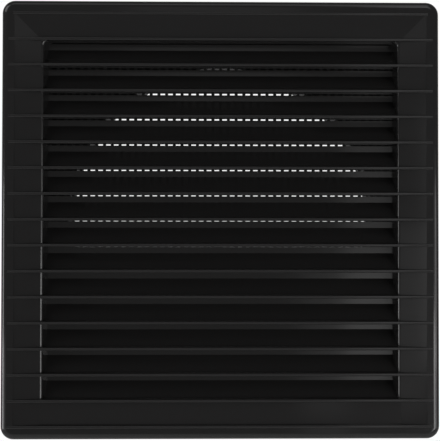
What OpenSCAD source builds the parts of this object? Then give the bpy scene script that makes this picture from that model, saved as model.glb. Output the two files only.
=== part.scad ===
// Square louvre grille for a round ventilation duct.
// Front moulding with sloped slats, an insect net behind it, and a wall plate with a duct spigot.
// Seen from the front: +X to the right, +Z up, +Y into the wall. The wall's face is at Y = 0.
// The origin is on the spigot's axis.

/* [Face] */
// Width and height of the square face
face_w = 170; // [164:1:220]
// From the wall to the noses of the slats
face_depth = 16; // [15:0.5:24]
// Radius of the face's corners, seen from the front
corner_r = 5; // [4.5:0.5:9]
// Radius round the front edge
edge_r = 2.5; // [1:0.1:4]
// Plain rim outside the beads
rim_w = 5; // [4:0.5:7]
// How far the plain rim lies behind the noses
rim_drop = 0.3; // [0.2:0.1:0.6]
// Wall of the skirt round the frame
skirt_t = 2; // [1.4:0.1:3]
// Wall behind the lowest part of the sloped face
skin_t = 1.8; // [1.2:0.1:2.5]
// Width of the border on the left and right of the opening
border_w = 15; // [14:0.5:18]
// How far the face slopes in towards the opening
dish_d = 1; // [0.5:0.1:1.5]
// How far each step of the border leans back at its lower edge
lean_d = 0.4; // [0.2:0.1:0.8]
// Radius of the opening's upright edges
cheek_r = 1.2; // [0.6:0.1:1.6]
// Radius of the opening's two upper corners
top_corner_r = 2.5; // [1.5:0.1:3.5]
// How far each cheek of the opening closes in behind the edge
cheek_lean = 0.8; // [0.4:0.1:1.2]
// Wall of the square throat behind the opening
throat_t = 1.6; // [1.2:0.1:2]

/* [Slats] */
// Upright distance from one bead or slat to the next
pitch = 10; // [9:0.5:12]
// Height of a bead and of a slat's nose
bead_h = 1.2; // [1:0.1:1.5]
// How far the ends of a bead stay inside the rounded edge
bead_inset = 0.1; // [0.05:0.05:0.3]
// Depth from the noses to the slats' upright lips
slat_depth = 9; // [8:0.5:10]
// Thickness of a slat
slat_t = 1.2; // [1:0.1:1.6]
// Height of the upright lip along a slat's back
lip_h = 2.4; // [1.5:0.1:3]
// Upright gap between a lip and the nose above it
slat_gap = 0.25; // [0.15:0.05:1.2]
// Depth from the noses to the rear edge of the flat ledge under a slat
ledge_depth = 6.4; // [5.5:0.1:7]
// Thickness of the ledge
ledge_t = 1; // [0.8:0.1:1.2]
// Radius of the hollow behind a nose
hollow_r = 2.5; // [2:0.1:3]

/* [Net] */
// Thickness of the insect net
net_t = 0.8; // [0.5:0.1:1.2]
// Distance from one upright thread of the net to the next
net_pitch = 3.09; // [3:0.01:5]
// Width of a thread
net_bar = 1; // [0.6:0.1:1.4]
// Thick threads across the net, counted with its two edges
net_cross = 3; // [3:1:4]
// How far the net reaches past the throat's outside
net_lap = 1.5; // [1:0.1:2]
// Gap on each side of the net, between the throat and the plate
net_clear = 0.1; // [0.05:0.05:0.3]

/* [Wall plate] */
// Thickness of the wall plate
plate_t = 2.5; // [2.2:0.1:3]
// Gap between the plate and the skirt
plate_clear = 0.3; // [0.2:0.1:0.6]
// Gap round the net in its seat
seat_clear = 0.3; // [0.2:0.1:0.6]
// Outer diameter of the spigot, for a 125 mm duct
spigot_d = 124.6; // [98:0.1:126]
// Wall of the spigot
spigot_t = 1.6; // [1.2:0.1:2.5]
// Length of the spigot behind the wall's face
spigot_len = 20; // [12:1:50]
// Bevel at the spigot's far end
spigot_lead = 0.8; // [0.4:0.1:1.1]
// Diameter of the screw holes
screw_d = 4.2; // [3:0.1:5]
// Diameter of the countersinks
screw_head_d = 7.6; // [6.5:0.1:8]

/* [Catches] */
// Width of a catch
catch_w = 10; // [6:1:16]
// Distance of a catch from the middle of its side
catch_x = 40; // [25:1:55]
// Thickness of a tongue
tongue_t = 1.2; // [1:0.1:1.4]
// Height of a tongue in front of the plate
tongue_h = 7; // [5.5:0.5:8]
// Height of a tongue's barb and of the rib that it holds
barb_h = 1.6; // [1.2:0.1:1.8]
// Overlap of barb and rib
catch_bite = 0.8; // [0.5:0.1:1]
// Gap round a catch
catch_clear = 0.3; // [0.2:0.1:0.4]

/* [Hidden] */
$fn = 48;

front_y = -face_depth;
face_half = face_w / 2;
strips = floor((face_w - 2 * rim_w) / pitch);
field_half = strips * pitch / 2;
slope_x = field_half;
open_half = face_half - border_w;
dish_run = slope_x - open_half;
cheek_half = open_half - cheek_r;
throat_half = cheek_half - cheek_lean;
throat_out = cheek_half + throat_t;
open_top = field_half - pitch - bead_h / 2;
open_bottom = -(field_half - pitch);
bead_reach = face_half - edge_r - bead_inset;

dish_y = front_y + rim_drop + dish_d;
skin_y = dish_y + lean_d + skin_t;
bead_depth = skin_y - skin_t / 2 - front_y;
dish_angle = atan(dish_d / dish_run);
lean_angle = atan(lean_d / pitch);

seat_y = -plate_t + net_t + 2 * net_clear;
plate_y = -plate_t;
net_half_x = throat_out + net_lap;
net_half_z = max(open_top, -open_bottom) + throat_t + net_lap;
throat_back = plate_y;
net_y = plate_y + net_clear;

spigot_r = spigot_d / 2;
plate_half = face_half - skirt_t - plate_clear;
screw_x = (throat_out + face_half - skirt_t) / 2;
past = 1;

// Lays a drawing in X and Z, with its front at y and its thickness going back from there
module upright(y, t) {
    translate([0, y + t, 0]) rotate([90, 0, 0]) linear_extrude(t) children();
}

// Runs a drawing of depth and height along X, both ways from the middle
module along_x(length) {
    rotate([90, 0, 90]) linear_extrude(length, center = true) children();
}

// A square with round corners
module rounded_square(half, r) {
    square([2 * half, 2 * (half - r)], center = true);
    square([2 * (half - r), 2 * half], center = true);
    for (x = [-1, 1], z = [-1, 1])
        translate([x * (half - r), z * (half - r)]) circle(r);
}

// Solid block with round corners and a rounded front edge
module front_block() {
    rim_y = front_y + rim_drop;
    rim_half = face_half - edge_r;
    centre = face_half - corner_r;
    upright(rim_y + edge_r, -rim_y - edge_r) rounded_square(face_half, corner_r);
    upright(rim_y, -rim_y) rounded_square(rim_half, corner_r - edge_r);
    for (turn = [0:90:270]) rotate([0, turn, 0]) {
        translate([0, rim_y + edge_r, rim_half]) rotate([0, 90, 0])
            cylinder(h = 2 * centre, r = edge_r, center = true);
        translate([centre, rim_y + edge_r, centre]) rotate([90, 0, 0])
            rotate_extrude() {
                square([corner_r - edge_r, edge_r]);
                translate([corner_r - edge_r, 0]) intersection() {
                    circle(edge_r);
                    square(edge_r);
                }
            }
    }
}

// Hollow behind the border, open towards the wall, with the throat left standing in it
module border_hollow() {
    upright(skin_y, -skin_y + past) difference() {
        rounded_square(face_half - skirt_t, corner_r - skirt_t);
        throat_outline();
    }
    upright(throat_back, plate_t + past)
        rounded_square(face_half - skirt_t, corner_r - skirt_t);
}

// Outside of the square throat
module throat_outline() {
    translate([-throat_out, open_bottom - throat_t])
        square([2 * throat_out, open_top - open_bottom + 2 * throat_t]);
}

// The way through the front: the cheeks close in a little behind their edges
module throat_hole() {
    lean_y = dish_y + lean_d + cheek_r;
    translate([0, 0, open_bottom]) linear_extrude(open_top - open_bottom) polygon([
        [-cheek_half, front_y - past], [-cheek_half, lean_y],
        [-throat_half, front_y + slat_depth], [-throat_half, past],
        [throat_half, past], [throat_half, front_y + slat_depth],
        [cheek_half, lean_y], [cheek_half, front_y - past]]);
}

// What the sloped face leaves out of the block. It slopes in from the left, the right and the top,
// and the slopes meet on mitre lines in the two upper corners.
module dish_cut() {
    rim_y = front_y + rim_drop;
    intersection() {
        translate([0, 0, -field_half]) linear_extrude(2 * field_half) polygon([
            [-slope_x, front_y - past], [-slope_x, rim_y], [-open_half, dish_y],
            [open_half, dish_y], [slope_x, rim_y], [slope_x, front_y - past]]);
        along_x(2 * slope_x) polygon([
            [front_y - past, field_half], [rim_y, field_half],
            [dish_y, field_half - pitch], [dish_y, -field_half],
            [front_y - past, -field_half]]);
    }
}

// Steps that lean back towards their lower edges, from the given bead down to the last
module steps_outline(first) {
    polygon([
        [-past - rim_drop - dish_d, field_half - first * pitch],
        for (i = [first:strips - 1]) each [
            [0, field_half - i * pitch], [lean_d, field_half - (i + 1) * pitch]],
        [-past - rim_drop - dish_d, -field_half]]);
}

// The steps on both sides of the opening and the one below it
module step_cuts() {
    reach = dish_run + cheek_r + past;
    difference() {
        for (side = [0, 1]) mirror([side, 0, 0])
            translate([slope_x, front_y + rim_drop, 0]) rotate([0, 0, -dish_angle])
                translate([-reach / 2, 0, 0]) along_x(reach) steps_outline(1);
        translate([-open_half, front_y - face_depth / 2, -field_half - past])
            cube([2 * open_half, face_depth, pitch + past]);
    }
    translate([0, dish_y, 0]) along_x(2 * open_half) steps_outline(strips - 1);
}

// Rounds one upright edge of the opening beside strip i, along the step's own lean
module cheek_rounding(i) {
    turn = dish_angle;
    centre_y = cheek_r * (1 - sin(turn)) / cos(turn);
    touch = [cheek_r * (1 - sin(turn)), centre_y - cheek_r * cos(turn)];
    edge_y = dish_y + tan(dish_angle) * cheek_r;
    translate([cheek_half, edge_y, field_half - i * pitch]) rotate([lean_angle, 0, 0])
        translate([0, 0, -pitch]) linear_extrude(pitch) difference() {
            polygon([[-past, -past], touch - [0, past], touch, [cheek_r, centre_y],
                [0, centre_y], [-past, centre_y]]);
            translate([cheek_r, centre_y]) circle(cheek_r);
        }
}

// Fills an upper corner of the opening, so that the cheek turns into the top in a round bend
module corner_bend() {
    front = dish_y + lean_d / 2;
    deep = front_y + slat_depth + slat_t / 2 - front;
    r = top_corner_r;
    translate([-cheek_half, front, open_top]) difference() {
        translate([-throat_t / 2, 0, -r]) cube([r + throat_t / 2, deep, r + throat_t / 2]);
        translate([r, 0, -r]) rotate([-90, 0, 0]) rotate_extrude() difference() {
            polygon([[0, -past], [r + cheek_r, -past], [r + cheek_r, cheek_r], [r, cheek_r],
                [r, deep + past], [0, deep + past]]);
            translate([r + cheek_r, cheek_r]) circle(cheek_r);
        }
    }
}

// Bead i across the whole face, standing on the sloped face. The first stops at the mitres.
module bead(i) {
    reach = i == 0 ? slope_x + bead_h / 2 : bead_reach;
    translate([0, 0, field_half - i * pitch]) difference() {
        along_x(2 * reach) {
            translate([front_y + bead_h / 2, 0]) circle(bead_h / 2);
            translate([front_y + bead_h / 2, -bead_h / 2])
                square([bead_depth - bead_h / 2, bead_h]);
        }
        if (i > 1 && i < strips) bead_window();
    }
}

// Keeps a bead shallow where it crosses the opening, where it is only the nose of a slat
module bead_window() {
    translate([-cheek_half, front_y + bead_h, -bead_h])
        cube([2 * cheek_half, face_depth, 2 * bead_h]);
}

// Section of a slat, in depth and height from the middle of its nose
module slat_outline() {
    lip_top = pitch - bead_h / 2 - slat_gap;
    lip_foot = lip_top - lip_h;
    hollow = [hollow_r - bead_h / 4, hollow_r + bead_h / 4];
    toward = [slat_depth, lip_foot] - hollow;
    incline = atan2(toward[1], toward[0]) + asin(hollow_r / norm(toward));
    touch = hollow + hollow_r * [sin(incline), -cos(incline)];
    under = [slat_depth, lip_foot] + slat_t * [sin(incline), -cos(incline)];
    back = slat_depth + slat_t;
    difference() {
        union() {
            polygon([
                [bead_h / 2, -bead_h / 2],
                [under[0] - (under[1] + bead_h / 2) / tan(incline), -bead_h / 2],
                [back, under[1] + (back - under[0]) * tan(incline)],
                [back, lip_top], [slat_depth, lip_top], [slat_depth, lip_foot],
                touch, [bead_h / 2, bead_h / 2]]);
            translate([bead_h / 2, -bead_h / 2]) square([ledge_depth - bead_h / 2, ledge_t]);
        }
        translate(hollow) circle(hollow_r);
    }
}

// The slat whose nose is bead i, let into the cheeks
module slat(i) {
    translate([0, front_y, field_half - i * pitch])
        along_x(2 * cheek_half + cheek_r) slat_outline();
}

// Section of the rib inside the skirt that a tongue's barb holds, in distance from the axis and Y
module rib_outline() {
    skirt_in = face_half - skirt_t;
    rib_in = barb_tip() - catch_bite;
    rib_y = plate_y - tongue_h + barb_h + catch_clear;
    polygon([[skirt_in + skirt_t / 2, rib_y], [rib_in, rib_y], [rib_in, rib_y + barb_h / 2],
        [skirt_in, rib_y + barb_h / 2 + skirt_in - rib_in],
        [skirt_in + skirt_t / 2, rib_y + barb_h / 2 + skirt_in - rib_in]]);
}

// How far out a barb reaches
function barb_tip() = face_half - skirt_t - catch_clear;

// Section of a tongue with its barb
module tongue_outline() {
    tip_y = plate_y - tongue_h;
    out = barb_tip() - catch_bite - catch_clear;
    polygon([[out - tongue_t, plate_y + plate_t / 2], [out, plate_y + plate_t / 2],
        [out, tip_y + barb_h], [barb_tip(), tip_y + barb_h], [out, tip_y],
        [out - tongue_t, tip_y]]);
}

// Two catches on each of the four sides
module at_catches() {
    for (turn = [0:90:270], z = [-1, 1]) rotate([0, turn, 0])
        translate([0, 0, z * catch_x - catch_w / 2]) linear_extrude(catch_w) children();
}

// Front moulding: frame, throat, beads, slats and the ribs for the catches
module louvre_front() color([0.06, 0.06, 0.065]) {
    difference() {
        front_block();
        border_hollow();
        throat_hole();
        dish_cut();
        step_cuts();
        for (i = [1:strips - 2], side = [0, 1]) mirror([side, 0, 0]) cheek_rounding(i);
    }
    for (side = [0, 1]) mirror([side, 0, 0]) corner_bend();
    for (i = [0:strips]) bead(i);
    for (i = [2:strips - 1]) slat(i);
    at_catches() rib_outline();
}

// Insect net: upright threads in a plain edge, with thick threads across
module insect_net() color([0.1, 0.1, 0.105]) {
    columns = 2 * floor(throat_half / net_pitch);
    rows = net_cross - 1;
    gap_w = net_pitch - net_bar;
    low = open_bottom + net_bar;
    gap_h = (open_top - net_bar - low - (rows - 1) * net_bar) / rows;
    upright(net_y, net_t) difference() {
        square([2 * net_half_x, 2 * net_half_z], center = true);
        for (c = [0:columns - 1], r = [0:rows - 1])
            translate([(c - columns / 2) * net_pitch + net_bar / 2, low + r * (gap_h + net_bar)])
                square([gap_w, gap_h]);
    }
}

// Wall plate: seat for the net, spigot, screw holes and tongues
module spigot_plate() color([0.07, 0.07, 0.075]) {
    difference() {
        union() {
            upright(plate_y, plate_t) rounded_square(plate_half, corner_r - skirt_t);
            rotate([-90, 0, 0]) rotate_extrude() polygon([
                [0, -plate_t / 2], [spigot_r, -plate_t / 2], [spigot_r, spigot_len - spigot_lead],
                [spigot_r - spigot_lead, spigot_len], [0, spigot_len]]);
        }
        upright(plate_y - past, seat_y - plate_y + past)
            square([2 * (net_half_x + seat_clear), 2 * (net_half_z + seat_clear)], center = true);
        rotate([-90, 0, 0])
            cylinder(h = 2 * (spigot_len + past), r = spigot_r - spigot_t, center = true);
        for (x = [-1, 1], z = [-1, 1]) translate([x * screw_x, 0, z * screw_x]) screw_hole();
    }
    at_catches() tongue_outline();
}

// Countersunk hole through the plate, wide end to the front
module screw_hole() {
    sink = (screw_head_d - screw_d) / 2;
    rotate([90, 0, 0]) {
        cylinder(h = 2 * (plate_t + past), r = screw_d / 2, center = true);
        translate([0, 0, plate_t - sink])
            cylinder(h = sink + past, r1 = screw_d / 2, r2 = screw_head_d / 2 + past);
    }
}

louvre_front();
insect_net();
spigot_plate();
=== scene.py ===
# %% [markdown]
# # A black louvre grille for a round duct
#
# The grille is three plastic pieces: a front moulding with sloped slats and beads, an insect net
# that lies behind the slats, and a wall plate whose spigot goes into the duct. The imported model
# holds their shapes. This notebook gives them their surfaces, makes the net as fine as the real
# one, and sets up the light and the camera.

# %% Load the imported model
import math

import bpy
import numpy as np
from mathutils import Matrix, Vector


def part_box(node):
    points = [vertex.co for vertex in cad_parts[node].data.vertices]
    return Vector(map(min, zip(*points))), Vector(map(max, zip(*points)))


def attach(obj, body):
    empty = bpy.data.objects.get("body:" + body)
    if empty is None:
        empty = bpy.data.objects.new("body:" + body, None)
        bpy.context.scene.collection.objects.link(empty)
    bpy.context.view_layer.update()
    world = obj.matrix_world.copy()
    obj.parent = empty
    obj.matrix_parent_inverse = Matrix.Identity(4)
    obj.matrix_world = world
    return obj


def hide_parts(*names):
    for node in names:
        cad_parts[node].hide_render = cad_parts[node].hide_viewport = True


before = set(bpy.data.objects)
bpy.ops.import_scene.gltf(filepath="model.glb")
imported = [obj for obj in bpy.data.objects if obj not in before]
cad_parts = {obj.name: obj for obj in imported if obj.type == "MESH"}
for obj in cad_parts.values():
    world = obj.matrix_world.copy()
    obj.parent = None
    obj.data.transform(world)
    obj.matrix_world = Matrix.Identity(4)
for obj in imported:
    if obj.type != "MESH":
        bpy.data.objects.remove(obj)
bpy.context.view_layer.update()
MM = 0.001

for name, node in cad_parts.items():
    print(name, len(node.data.vertices), "vertices")


# %% [markdown]
# ## Sizes that the pieces share
#
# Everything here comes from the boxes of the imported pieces, so a new size in the model carries
# over. A box has a lowest and a highest corner, in metres. The wall's face is at y = 0, and the
# slats look towards -y.

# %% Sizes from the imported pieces
face_low, face_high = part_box("louvre_front")
net_low, net_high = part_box("insect_net")
plate_low, plate_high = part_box("spigot_plate")

face_half = face_high.x
nose_y = face_low.y
print(f"face {2 * face_half / MM:.1f} mm wide, noses {-nose_y / MM:.1f} mm in front of the wall")
print(f"net from {net_low.y / MM:.2f} to {net_high.y / MM:.2f} mm, "
      f"plate and spigot from {plate_low.y / MM:.2f} to {plate_high.y / MM:.2f} mm")


# %% [markdown]
# ## The camera
#
# The photograph looks straight at the front from a little under half a metre. The camera could be
# placed by eye, but a row of slats shows every tenth of a degree, so its place, its turn and its
# focal length were fitted to where the beads lie in the picture. It stands a bit left of the
# middle and is turned and tipped by about one degree. A small shift brings the frame to the
# picture's crop, so nothing has to be scaled.

# %% Camera
PICTURE_PX = (440, 441)
SENSOR = 36.0  # mm
FOCAL_PX = 1086.1
AXIS_PX = (227.9, 200.4)  # the pixel that the lens points at
STAND_OFF = 0.420
STAND = Vector((-5.45 * MM, nose_y - STAND_OFF, -0.99 * MM))
PITCH, YAW, ROLL = (math.radians(a) for a in (1.141, -1.106, -0.064))
NEAREST, FARTHEST = 0.01, 20.0


def make_camera():
    """A camera that looks along +Y, then rolls, tips up and turns left, in that order."""
    data = bpy.data.cameras.new("camera")
    long_side = max(PICTURE_PX)
    data.sensor_width = SENSOR
    data.lens = FOCAL_PX / long_side * SENSOR
    data.shift_x = (PICTURE_PX[0] / 2 - AXIS_PX[0]) / long_side
    data.shift_y = (AXIS_PX[1] - PICTURE_PX[1] / 2) / long_side
    data.clip_start, data.clip_end = NEAREST, FARTHEST
    camera = bpy.data.objects.new("camera", data)
    turn = (Matrix.Rotation(YAW, 4, "Z") @ Matrix.Rotation(PITCH + math.pi / 2, 4, "X")
            @ Matrix.Rotation(-ROLL, 4, "Z"))
    camera.matrix_world = Matrix.Translation(STAND) @ turn
    bpy.context.collection.objects.link(camera)
    bpy.context.scene.camera = camera
    return camera


camera = make_camera()
print(f"lens {camera.data.lens:.1f} mm, shift {camera.data.shift_x:.3f} {camera.data.shift_y:.3f}")


# %% [markdown]
# ## Two helpers for shader nodes
#
# A material in Blender is a net of nodes: each has inputs, and each input has either a plain value
# or a link from another node's output. Setting them one by one takes a line each, so these two
# helpers fill all the inputs of a node at once, and put two numbers together.

# %% Helpers for nodes
def wire(tree, node, inputs):
    """Fills a node's inputs, given by name or number: with a link where the value is the output
    of another node, and with the plain value otherwise. Gives the node back."""
    for key, value in inputs.items():
        if isinstance(value, bpy.types.NodeSocket):
            tree.links.new(value, node.inputs[key])
        else:
            node.inputs[key].default_value = value
    return node


def reckon(tree, operation, first, second, clamp=False):
    """The result of a Math node with two inputs, kept between 0 and 1 where clamp is set."""
    node = tree.nodes.new("ShaderNodeMath")
    node.operation = operation
    node.use_clamp = clamp
    return wire(tree, node, {0: first, 1: second}).outputs[0]


print("helpers:", wire.__name__, reckon.__name__)


# %% [markdown]
# ## Moulded black plastic
#
# All three pieces are injection moulded in black ABS. Such a surface is nearly black by itself,
# and what the eye sees on it is the room in its sheen. Two things keep it from looking like paint:
# the sheen is not quite even, because the steel mould is not, and the face has a very faint
# waviness where the plastic shrank. And behind the face a pale grey is painted in, growing with the
# depth, as painted light in the slots and on the net.
#
# All of it could be built in each of the three materials. A node group is built once instead, and
# each material sets how much it wants. Two noises over the object's own coordinates drive it, so
# the pattern stays on the piece from every side: a slow one and a fine one.

# %% Colour and relief of the skin
SLOW_NOISE, FINE_NOISE = (28.0, 2.0), (3200.0, 1.0)  # turns in a metre, and finer layers
WAVE_HEIGHT, GRAIN_HEIGHT = 0.05 * MM, 0.004 * MM  # at a strength of 1
# Painted light: a pale grey mixed into the colour behind the face, none 1 mm behind the noses and
# full 7 mm behind them, where the lamps leave the slots and the net dark.
PAINTED_LIGHT_GREY = (0.240, 0.236, 0.228, 1)
PAINTED_LIGHT_START, PAINTED_LIGHT_FULL = nose_y + 1 * MM, nose_y + 7 * MM


def noise(tree, place, turns, layers):
    """A noise between 0 and 1, which goes up and down a number of turns in each metre."""
    node = tree.nodes.new("ShaderNodeTexNoise")
    wire(tree, node, {"Vector": place, "Scale": turns, "Detail": layers})
    return node.outputs["Fac"]


def relief(tree, bumps, strength, height, below=None):
    """The normal of a surface that rises by bumps * height, on top of the relief below it."""
    node = tree.nodes.new("ShaderNodeBump")
    wire(tree, node, {"Height": bumps, "Strength": strength, "Distance": height})
    if below is not None:
        wire(tree, node, {"Normal": below})
    return node.outputs["Normal"]


def colour_with_painted_light(tree, plain, uneven, painted_light, place):
    """The plain colour times 1 + uneven, mixed with a pale grey that is painted light in the depth.
    Its share
    grows with the depth: none on the face, and all that the material asks for from 7 mm behind the
    noses on."""
    tint = tree.nodes.new("ShaderNodeVectorMath")
    tint.operation = "SCALE"
    wire(tree, tint, {0: plain, "Scale": reckon(tree, "ADD", 1.0, uneven)})
    split = wire(tree, tree.nodes.new("ShaderNodeSeparateXYZ"), {0: place})
    depth = wire(tree, tree.nodes.new("ShaderNodeMapRange"), {
        "Value": split.outputs["Y"], "From Min": PAINTED_LIGHT_START, "From Max": PAINTED_LIGHT_FULL})
    share = reckon(tree, "MULTIPLY", depth.outputs["Result"], painted_light)
    mix = tree.nodes.new("ShaderNodeMix")
    mix.data_type = "RGBA"  # its share is input 0, its colours are inputs 6 and 7 and output 2
    return wire(tree, mix, {0: share, 6: tint.outputs["Vector"], 7: PAINTED_LIGHT_GREY}).outputs[2]


print(f"dust from {(PAINTED_LIGHT_START - nose_y) / MM:.0f} to {(PAINTED_LIGHT_FULL - nose_y) / MM:.0f} mm deep")


# %% Node group for the moulded skin
SKIN_INPUTS = (  # name, kind, value until a material sets its own
    ("Colour", "NodeSocketColor", (0.01, 0.01, 0.01, 1)),
    ("Roughness", "NodeSocketFloat", 0.3),
    ("Unevenness", "NodeSocketFloat", 0.1),
    ("Wave height", "NodeSocketFloat", 0.2),
    ("Grain height", "NodeSocketFloat", 0.2),
    # the share of pale grey painted in the depth as light
    ("Painted light", "NodeSocketFloat", 0.0),
)
SKIN_OUTPUTS = (
    ("Colour", "NodeSocketColor"),
    ("Roughness", "NodeSocketFloat"),
    ("Normal", "NodeSocketVector"),
)


def moulded_skin():
    """The slow noise, centred on 0, moves colour and roughness a little and lifts the surface in
    long waves. The fine noise is the grain of the steel mould."""
    tree = bpy.data.node_groups.new("moulded_skin", "ShaderNodeTree")
    for name, kind, value in SKIN_INPUTS:
        made = tree.interface.new_socket(name=name, in_out="INPUT", socket_type=kind)
        made.default_value = value
    for name, kind in SKIN_OUTPUTS:
        tree.interface.new_socket(name=name, in_out="OUTPUT", socket_type=kind)
    given = tree.nodes.new("NodeGroupInput").outputs
    place = tree.nodes.new("ShaderNodeTexCoord").outputs["Object"]
    slow, fine = noise(tree, place, *SLOW_NOISE), noise(tree, place, *FINE_NOISE)
    centred = reckon(tree, "SUBTRACT", slow, 0.5)
    uneven = reckon(tree, "MULTIPLY", centred, given["Unevenness"])
    waves = relief(tree, slow, given["Wave height"], WAVE_HEIGHT)
    wire(tree, tree.nodes.new("NodeGroupOutput"), {
        "Colour": colour_with_painted_light(tree, given["Colour"], uneven, given["Painted light"], place),
        "Roughness": reckon(tree, "ADD", given["Roughness"], uneven, clamp=True),
        "Normal": relief(tree, fine, given["Grain height"], GRAIN_HEIGHT, waves)})
    return tree


skin = moulded_skin()
print("group", skin.name, "with", len(skin.nodes), "nodes")


# %% [markdown]
# ## The three finishes
#
# The front was moulded in a polished tool and has a satin gloss. The net and the plate came out of
# plainer tools and are duller, and the net gets the most of the pale grey painted in the depth as
# light between the slats. One material for all three would do at a glance, but the front's
# mirror-like slopes and the flat plate behind it are what tells them apart. The shader stands in
# the material itself, and only colours, roughness and normals come out of the group.

# %% Materials
PLASTIC_IOR = 1.5


def plastic(name, colour, roughness, unevenness, wave, grain, painted_light, specular=0.5):
    """A black moulded plastic: the skin group feeds a Principled BSDF."""
    material = bpy.data.materials.new(name)
    material.use_nodes = True
    tree = material.node_tree
    surface = tree.nodes.new("ShaderNodeGroup")
    surface.node_tree = skin
    wire(tree, surface, {
        "Colour": (*colour, 1), "Roughness": roughness, "Unevenness": unevenness,
        "Wave height": wave, "Grain height": grain, "Painted light": painted_light})
    wire(tree, tree.nodes["Principled BSDF"], {
        "IOR": PLASTIC_IOR, "Specular IOR Level": specular,
        "Base Color": surface.outputs["Colour"], "Roughness": surface.outputs["Roughness"],
        "Normal": surface.outputs["Normal"]})
    return material


# The last share of each is the pale grey painted in the depth as light: most on the net, which lies
# behind the slats.
front_plastic = plastic("satin_black_front", (0.0153, 0.0148, 0.0149), roughness=0.13,
                        unevenness=0.05, wave=0.2, grain=0.3, painted_light=0.036)
net_plastic = plastic("dull_black_net", (0.022, 0.022, 0.0225), roughness=0.45,
                      unevenness=0.10, wave=0.0, grain=0.4, painted_light=0.5)
plate_plastic = plastic("plain_black_plate", (0.010, 0.010, 0.0105), roughness=0.65,
                        unevenness=0.12, wave=0.3, grain=0.4, painted_light=0.02, specular=0.25)


def dress(obj, material):
    """Puts one material in all of an object's slots."""
    obj.data.materials.clear()
    obj.data.materials.append(material)


for name, material in (("louvre_front", front_plastic), ("insect_net", net_plastic),
                       ("spigot_plate", plate_plastic)):
    dress(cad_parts[name], material)
    print(name, "wears", material.name)


# %% [markdown]
# ## The insect net
#
# Behind the slats lies a moulded net of square bars, about a millimetre thick, with 44 holes
# across and 41 up. Only slivers of it show between the slats, so the spacing and the width of the
# bars are what counts: they set the dashes of light in the rows.
#
# The holes could be cut out of a plate one by one, which is slow and leaves a poor mesh. But a net
# is a flat sheet with a hole in most of its squares, so one grid of lines holds it all. Each hole
# has a line at its side and one just outside, and the corners at the sides are set back a little,
# which bevels every bar without a modifier.

# %% Grid lines of the net
UPRIGHT, CROSS = 1.25 * MM, 1.0 * MM  # widths of the bars
BAR_BEVEL = 0.18 * MM
ACROSS, PITCH_X = 44, 3.09 * MM  # holes in a row, and the step from one to the next
UP, PITCH_Z = 41, 3.34 * MM  # the same for a column
FIRST_X = -ACROSS / 2 * PITCH_X + UPRIGHT / 2  # left side of the first hole
FIRST_Z = -67.54 * MM  # lower side of the lowest hole


def hole_lines(first, pitch, bar, count, low, high):
    """Places of the grid lines: the net's two edges, and for hole k the four lines
    first + k * pitch + (-bevel, 0, hole, hole + bevel), of which the middle two are its sides."""
    hole = pitch - bar
    four = np.array([-BAR_BEVEL, 0.0, hole, hole + BAR_BEVEL])
    inner = (first + pitch * np.arange(count))[:, None] + four
    lines = np.concatenate([[low], inner.ravel(), [high]])
    side = np.concatenate([[False], np.tile([False, True, True, False], count), [False]])
    return lines, side


lines_x, side_x = hole_lines(FIRST_X, PITCH_X, UPRIGHT, ACROSS, net_low.x, net_high.x)
lines_z, side_z = hole_lines(FIRST_Z, PITCH_Z, CROSS, UP, net_low.z, net_high.z)
print(f"holes {(PITCH_X - UPRIGHT) / MM:.2f} x {(PITCH_Z - CROSS) / MM:.2f} mm, "
      f"top edge of the highest {lines_z[-3] / MM:.2f} mm")


# %% Points of the net
def net_points():
    """Two layers of points over the grid. A point lies on the net's face, or the bevel's depth
    behind it where both of its lines are sides of holes."""
    x, z = np.meshgrid(lines_x, lines_z, indexing="ij")
    back_off = BAR_BEVEL * (side_x[:, None] & side_z[None, :])
    front = np.stack([x, net_low.y + back_off, z], axis=-1)
    back = np.stack([x, net_high.y - back_off, z], axis=-1)
    return np.concatenate([front.reshape(-1, 3), back.reshape(-1, 3)])


points = net_points()
print("net:", len(points), "points")


# %% Faces of the net
def net_faces():
    """Four-cornered faces: all squares of both layers except the holes, and a wall between the
    layers along every side of a hole and along the net's own edge. A wall stands where exactly
    one of the two squares beside a line is solid."""
    nx, nz = len(lines_x), len(lines_z)
    front = np.arange(nx * nz).reshape(nx, nz)
    back = front + nx * nz
    solid = np.zeros((nx + 1, nz + 1), bool)
    solid[1:-1, 1:-1] = True
    solid[3:-2:4, 3:-2:4] = False  # the holes: every fourth square both ways
    cell = solid[1:-1, 1:-1]

    def layer(index):
        """The solid squares of one layer, each as its four corners."""
        corners = (index[:-1, :-1], index[1:, :-1], index[1:, 1:], index[:-1, 1:])
        return np.stack([c[cell] for c in corners], axis=-1)

    left, right = solid[:-1, 1:-1], solid[1:, 1:-1]
    below, above = solid[1:-1, :-1], solid[1:-1, 1:]
    along_z = np.stack([front[:, :-1], front[:, 1:], back[:, 1:], back[:, :-1]], axis=-1)
    along_x = np.stack([front[:-1], front[1:], back[1:], back[:-1]], axis=-1)
    return np.concatenate([
        layer(front), layer(back)[:, ::-1],
        along_z[right & ~left], along_z[left & ~right][:, ::-1],
        along_x[below & ~above], along_x[above & ~below][:, ::-1]])


faces = net_faces()
print("net:", len(faces), "faces")


# %% The net as a piece
def mesh_piece(name, points, faces):
    """An object with flat faces from its points and the numbers of each face's corners."""
    mesh = bpy.data.meshes.new(name)
    mesh.from_pydata(points, [], faces)
    mesh.validate()
    obj = bpy.data.objects.new(name, mesh)
    bpy.context.collection.objects.link(obj)
    return obj


net = mesh_piece("fine_net", points.tolist(), faces.tolist())
dress(net, net_plastic)
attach(net, "root")
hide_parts("insect_net")
print(net.name, "wears", net_plastic.name, "and keeps", len(net.data.polygons), "faces")


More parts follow.
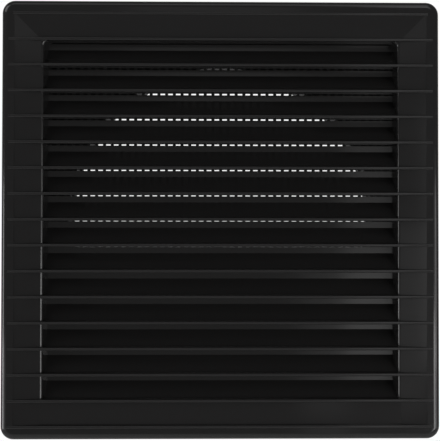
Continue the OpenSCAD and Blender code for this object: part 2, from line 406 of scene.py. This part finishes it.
# %% [markdown]
# ## Floor, wall and backdrop
#
# The photograph is a product shot on pure white. A pale table stands under the grille, a pale wall
# stands behind, and a white sheet in front of the wall fills the camera's view. A strong light on
# a grey sheet would also look white, but it would fall on the grille too. So the sheet shows at
# full white only where the camera or a sheen looks at it, and is plain paper to all other light.
# Table and wall have the same trick in a small share, which keeps them pale in a dim room. The
# table lies below the picture and keeps the shadow.

# %% Pale surfaces
def pale(name, colour, share):
    """A matt pale surface. A share of it is replaced by plain white where the camera, a sheen or
    clear material looks at it, by Light Path, so it looks bright and adds no light. The share is
    multiplied by the largest of the three rays' marks, each of which is 0 or 1."""
    material = bpy.data.materials.new(name)
    material.use_nodes = True
    tree = material.node_tree
    matt = wire(tree, tree.nodes["Principled BSDF"], {"Base Color": (*colour, 1), "Roughness": 0.9})
    rays = tree.nodes.new("ShaderNodeLightPath").outputs
    seen = rays["Is Camera Ray"]
    for ray in ("Is Glossy Ray", "Is Transmission Ray"):
        seen = reckon(tree, "MAXIMUM", seen, rays[ray])
    white = tree.nodes.new("ShaderNodeEmission")
    mix = wire(tree, tree.nodes.new("ShaderNodeMixShader"), {
        "Fac": reckon(tree, "MULTIPLY", seen, share),
        1: matt.outputs["BSDF"], 2: white.outputs["Emission"]})
    wire(tree, tree.nodes["Material Output"], {"Surface": mix.outputs["Shader"]})
    return material


paint = pale("pale_paint", colour=(0.80, 0.80, 0.79), share=0.22)
paper = pale("white_paper", colour=(0.8, 0.8, 0.8), share=1.0)
print("surfaces:", paint.name, paper.name)


# %% Floor, wall and backdrop
FLOOR_DROP = 0.45  # from the grille's lower edge to the table
ROOM_HALF, ROOM_FRONT, ROOM_BACK, ROOM_TOP = 3, -1.2, 1.5, 2.5
SHEET_HALF, SHEET_BACK, SHEET_TOP = 0.7, 1.48, 0.6
floor_z = -face_half - FLOOR_DROP


def standing(half, y, top):
    """The corners of a sheet that stands on the table, with half its width on each side."""
    return [(-half, y, floor_z), (half, y, floor_z), (half, y, top), (-half, y, top)]


def stage_piece(name, corners, material):
    """A flat sheet from its four corners, in one material and not attached to the grille."""
    obj = mesh_piece(name, corners, [(0, 1, 2, 3)])
    dress(obj, material)
    print(name, "wears", material.name)


stage_piece("table", [(-ROOM_HALF, ROOM_FRONT, floor_z), (ROOM_HALF, ROOM_FRONT, floor_z),
                      (ROOM_HALF, ROOM_BACK, floor_z), (-ROOM_HALF, ROOM_BACK, floor_z)], paint)
stage_piece("wall", standing(ROOM_HALF, ROOM_BACK, ROOM_TOP), paint)
stage_piece("backdrop", standing(SHEET_HALF, SHEET_BACK, SHEET_TOP), paper)


# %% [markdown]
# ## The lamps
#
# Polished black plastic shows its shape by what it mirrors: the thin lines on the beads, the
# bright edges of the opening and the shine on the right ends of the slats are all pictures of
# lamps. One big soft lamp would light a pale object well, but would leave this one without its
# lines. So a dim room gives the general level, one lamp low on the right and one overhead do most
# of the work, and smaller ones stand where the photograph's bright edges ask for them. A lamp's
# brightness is how white it looks itself, so it is easy to set against what mirrors it.

# %% Helpers for lamps
def soft_box(name, centre, aim, width, height, brightness):
    """A rectangular lamp that faces a point. Its brightness is how white its surface looks, where
    1 is white paper, and its power is brightness * pi * width * height."""
    data = bpy.data.lights.new(name, "AREA")
    data.shape = "RECTANGLE"
    data.size, data.size_y = width, height
    data.energy = brightness * math.pi * width * height
    lamp = bpy.data.objects.new(name, data)
    lamp.location = centre
    lamp.rotation_mode = "QUATERNION"
    lamp.rotation_quaternion = (Vector(aim) - Vector(centre)).to_track_quat("-Z", "Y")
    bpy.context.collection.objects.link(lamp)
    print(f"lamp {name}: {1000 * data.energy:.0f} mW")


def around(azimuth, height_angle, distance):
    """A place round the grille, from degrees to the right of straight in front, degrees up and
    metres: distance * (sin a * cos e, -cos a * cos e, sin e)."""
    a, e = math.radians(azimuth), math.radians(height_angle)
    return (distance * math.sin(a) * math.cos(e), -distance * math.cos(a) * math.cos(e),
            distance * math.sin(e))


def panel(name, left, right, low, high, distance, brightness):
    """A lamp parallel to the face at a distance from it, between edges given in millimetres."""
    x, z = (left + right) / 2 * MM, (low + high) / 2 * MM
    y = nose_y - distance * MM
    soft_box(name, (x, y, z), (x, 0, z), (right - left) * MM, (high - low) * MM, brightness)


print("a metre straight in front of the grille is", around(0, 0, 1.0))


# %% The room and its lamps
ROOM_LIGHT = 0.140
MIDDLE = (0, 0, 0)
AROUND = (  # name, azimuth, height angle, distance, width, height, brightness
    ("high_right", 20, 34, 1.1, 0.22, 0.40, 1.2),
    ("high_left", -60, 32, 1.1, 0.70, 0.50, 1.8),
    ("right", 40, -4, 0.8, 0.28, 0.19, 0.77),
    ("far_right", 60, -4, 0.8, 0.28, 0.19, 2.26),
    ("far_right_low", 60, -16, 0.8, 0.28, 0.19, 1.28),
    ("left_low", -40, -16, 0.8, 0.28, 0.19, 0.36),
    ("far_left_low", -60, -16, 0.8, 0.28, 0.19, 1.96),
    ("edge_left", -78, -4, 0.8, 0.28, 0.19, 3.8),
    ("edge_left_low", -78, -16, 0.8, 0.28, 0.19, 4.2),
)
PANELS = (  # name, left, right, low, high, distance, brightness
    ("above_lens", -120, 120, 145, 350, 1100, 0.17),
    ("card_upper", 82, 118, -22, 52, 250, 0.46),
    ("card_middle", 82, 118, -110, -22, 250, 0.86),
    ("card_lower", 54, 82, -140, -22, 250, 0.21),
)


def dim_room(strength):
    """An even white world of a given strength."""
    world = bpy.data.worlds.new("room")
    bpy.context.scene.world = world
    world.use_nodes = True
    wire(world.node_tree, world.node_tree.nodes["Background"],
         {"Color": (1, 1, 1, 1), "Strength": strength})


dim_room(ROOM_LIGHT)
soft_box("front_right_low", (0.51, -0.78, -0.25), MIDDLE, width=0.42, height=0.28,
         brightness=4.05)
soft_box("overhead", (0, -0.6, 1.0), MIDDLE, width=1.0, height=0.5, brightness=0.62)
for name, azimuth, height_angle, distance, *look in AROUND:
    soft_box(name, around(azimuth, height_angle, distance), MIDDLE, *look)
for row in PANELS:
    panel(*row)
bpy.context.scene.view_settings.view_transform = "Standard"
